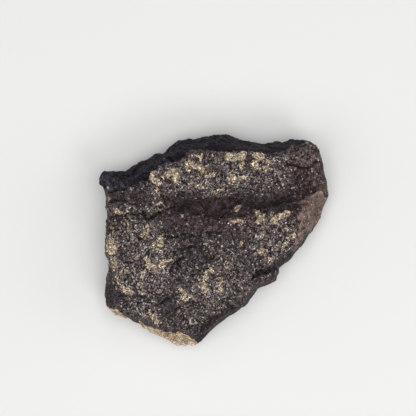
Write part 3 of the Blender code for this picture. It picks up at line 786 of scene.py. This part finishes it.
# Cream mineral fills the clusters, with dark holes in it
cream_change = mixed(tree, small["Second pick"], *CREAM_CHANGES)
cream = mixed(tree, packed["Pick"], *CREAM_TONES)
cream = mixed(tree, joints, cream, CREAM_JOINT_TONE)
cream = mixed(tree, eased(tree, worms, 0.49, 0.38), cream, CREAM_HOLE_TONE)
cream = tinted(tree, cream, cream_change)
cream_share = maths(tree, "MAXIMUM", frayed(mark(tree, "pale"), 2.8, 0.44, 0.52), strewn_grains["Mask"])
colour = mixed(tree, cream_share, colour, cream)

# Each chondrule is a pale bead in a dark rim
colour = mixed(tree, eased(tree, bead_mark, 0.5, 0.8, 0.0, 0.7), colour, BEAD_RIM_TONE)
bead_colour = tinted(tree, mixed(tree, worm, *BEAD_TONES), cream_change)
colour = mixed(tree, eased(tree, bead_mark, 0.95, 1.15, 0.0, 0.85), colour, bead_colour)

# The crust is nearly black with dusty mottling, painted lighter on top of the horn as a painted sheen, and
# brown where weather reached it
crust_dust_and_sheen = maths(tree, "ADD", eased(tree, mottle, 0.46, 0.62, 0.0, 0.85), mark(tree, "horn_sheen"))
crusted = mixed(tree, small["Second pick"], *CRUST_TONES)
# The top of the horn is painted lighter, a painted sheen
crusted = mixed(tree, times(tree, mark(tree, "horn_sheen"), 0.6), crusted, HORN_SHEEN_TONE)
crusted = mixed(tree, times(tree, worm, crust_dust_and_sheen), crusted, CRUST_DUST_AND_SHEEN_TONE)
browned = mixed(tree, worm, *WEATHERED_TONES)
weathered_grains = times(tree, packed["Pick"], eased(tree, mottle, 0.5, 0.7))
browned = mixed(tree, weathered_grains, browned, WEATHERED_GRAIN_TONE)
crusted = mixed(tree, times(tree, mark(tree, "weathered"), 0.85), crusted, browned)
crusted = mixed(tree, times(tree, dark_threads, 0.8), crusted, CRUST_THREAD_TONE)
colour = mixed(tree, frayed(crust_mark, 1.6, 0.42, 0.58), colour, crusted)

# Tan soil clings to one side
earth = mixed(tree, packed["Pick"], *SOIL_TONES)
earth = mixed(tree, eased(tree, worms, 0.47, 0.38), earth, SOIL_HOLE_TONE)
earth = mixed(tree, times(tree, eased(tree, mottle, 0.55, 0.68), 0.6), earth, SOIL_PALE_TONE)
earth = mixed(tree, times(tree, joints, 0.6), earth, SOIL_JOINT_TONE)
earth = tinted(tree, earth, cream_change)
colour = mixed(tree, frayed(mark(tree, "soil"), 1.6, 0.40, 0.60), colour, earth)

# Rust, painted shade in the cracks, and bright grains with painted glints, then painted shade that darkens
# hollows and painted light on high spots
colour = mixed(tree, times(tree, mark(tree, "rust"), 0.85), colour, mixed(tree, worm, *RUST_TONES))
# Painted shade darkens the cracks
colour = mixed(tree, times(tree, mark(tree, "crack_shade"), 0.9), colour, CRACK_SHADE_TONE)
# Near-white spots: partly white grains, partly painted glints
white_grains_and_glints = maths(tree, "MAXIMUM", glints["Mask"], eased(tree, mark(tree, "bright"), 0.45, 0.90, 0.0, 0.42))
colour = mixed(tree, white_grains_and_glints, colour, WHITE_AND_GLINT_TONE)
# Painted shade in the hollows and painted light on the high spots, from how deep each place lies
painted_shade_and_light = eased(tree, mark(tree, "hollow"), -0.8, 0.9, 1.35, 0.42)
colour = tinted(tree, colour, put(tree, "CombineColor", {}, {0: painted_shade_and_light, 1: painted_shade_and_light, 2: painted_shade_and_light}).outputs[0])
tree.links.new(colour, shader.inputs["Base Color"])
tree.links.new(eased(tree, mottle, 0.3, 0.7, 0.45, 0.75), shader.inputs["Roughness"])
shader.inputs["Specular IOR Level"].default_value = 0.14

# Relief too fine for the mesh: grain joints and threads, and on the crust also crazing and ripples
FINE_RELIEF = 0.00014
CRAZING_BEND = 0.004
bend_colour = clouds(tree, place, 260.0, detail=3.0).outputs["Color"]
crazed_place = shifted(tree, place, scaled(tree, bend_colour, CRAZING_BEND))
crazing = put(tree, "TexVoronoi", {"feature": "DISTANCE_TO_EDGE"}, {"Vector": crazed_place, "Scale": 330.0})
crazed = times(tree, eased(tree, crazing.outputs["Distance"], 0.09, 0.02), crust_mark)
ripples = clouds(tree, place, 520.0, detail=3.0, distortion=0.4).outputs["Fac"]
height = maths(tree, "ADD", times(tree, small["Joint"], 0.5), times(tree, worms, 1.6))
height = maths(tree, "SUBTRACT", height, dark_threads)
height = maths(tree, "SUBTRACT", height, times(tree, crazed, 1.5))
height = maths(tree, "ADD", height, times(tree, times(tree, ripples, crust_mark), 9.0))
bump = put(tree, "Bump", {}, {"Height": height, "Distance": FINE_RELIEF, "Strength": 0.9})
tree.links.new(bump.outputs["Normal"], shader.inputs["Normal"])
stone_mesh.materials.append(chondrite)

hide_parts("meteorite")
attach(stone, "root")

# The table under the stone is a plain pale board with a matt face, larger than the view. It stands in for
# the white surface in the photo, and it belongs to the picture only.
TABLE_SIZE = 3.0
TABLE_COLOUR = (0.84, 0.84, 0.83, 1.0)
bpy.ops.object.select_all(action="DESELECT")
bpy.ops.mesh.primitive_plane_add(size=TABLE_SIZE)
table = bpy.context.active_object
table.name = "table"
board = bpy.data.materials.new("pale_board")
board.use_nodes = True
board_shader = board.node_tree.nodes["Principled BSDF"]
board_shader.inputs["Base Color"].default_value = TABLE_COLOUR
board_shader.inputs["Roughness"].default_value = 0.9
board_shader.inputs["Specular IOR Level"].default_value = 0.1
table.data.materials.append(board)

# A wide soft lamp hangs straight above, and weaker soft lamps stand round the table, so the shadow is
# faint. Each has its width in metres, its rise and bearing in degrees, and its power in watts.
LAMP_REACH = 0.95
LAMPS = [
    ("lamp_above", 0.7, 90.0, 0.0, 5.3),
    ("lamp_at_right", 0.7, 30.0, 0.0, 1.7),
    ("lamp_at_left", 0.7, 30.0, 180.0, 0.8),
    ("lamp_at_front_left", 0.7, 55.0, 225.0, 1.7),
    ("lamp_at_front_right", 0.4, 50.0, 310.0, 2.1),
    ("lamp_at_back", 0.3, 55.0, 90.0, 0.4),
]
ROOM_LIGHT = 0.05
for name, width, rise, bearing, power in LAMPS:
    lamp_data = bpy.data.lights.new(name, "AREA")
    lamp_data.shape = "DISK"
    lamp_data.size = width
    lamp_data.energy = power
    lamp = bpy.data.objects.new(name, lamp_data)
    bpy.context.scene.collection.objects.link(lamp)
    up = math.radians(rise)
    around = math.radians(bearing)
    aside = math.cos(up)
    lamp.location = LAMP_REACH * Vector((math.cos(around) * aside, math.sin(around) * aside, math.sin(up)))
    lamp.rotation_euler = (-lamp.location).to_track_quat("-Z", "Y").to_euler()
room = bpy.data.worlds.new("bright_room")
room.use_nodes = True
room.node_tree.nodes["Background"].inputs["Color"].default_value = (1.0, 1.0, 1.0, 1.0)
room.node_tree.nodes["Background"].inputs["Strength"].default_value = ROOM_LIGHT
bpy.context.scene.world = room
bpy.context.scene.view_settings.view_transform = "Standard"

# The camera looks straight down as in the photo, aimed a little behind the middle of the stone. Its aim,
# its height and the width of its view are in millimetres.
CAMERA_AIM = (-1.62, 8.71, 12.0)
CAMERA_HEIGHT = 600.0
VIEW_WIDTH = 112.3
SENSOR_WIDTH = 36.0
camera_data = bpy.data.cameras.new("view_from_above")
camera_data.sensor_width = SENSOR_WIDTH
camera_data.lens = SENSOR_WIDTH * CAMERA_HEIGHT / VIEW_WIDTH
camera = bpy.data.objects.new("view_from_above", camera_data)
bpy.context.scene.collection.objects.link(camera)
camera.location = Vector(CAMERA_AIM) * MM + Vector((0.0, 0.0, CAMERA_HEIGHT * MM))
bpy.context.scene.camera = camera
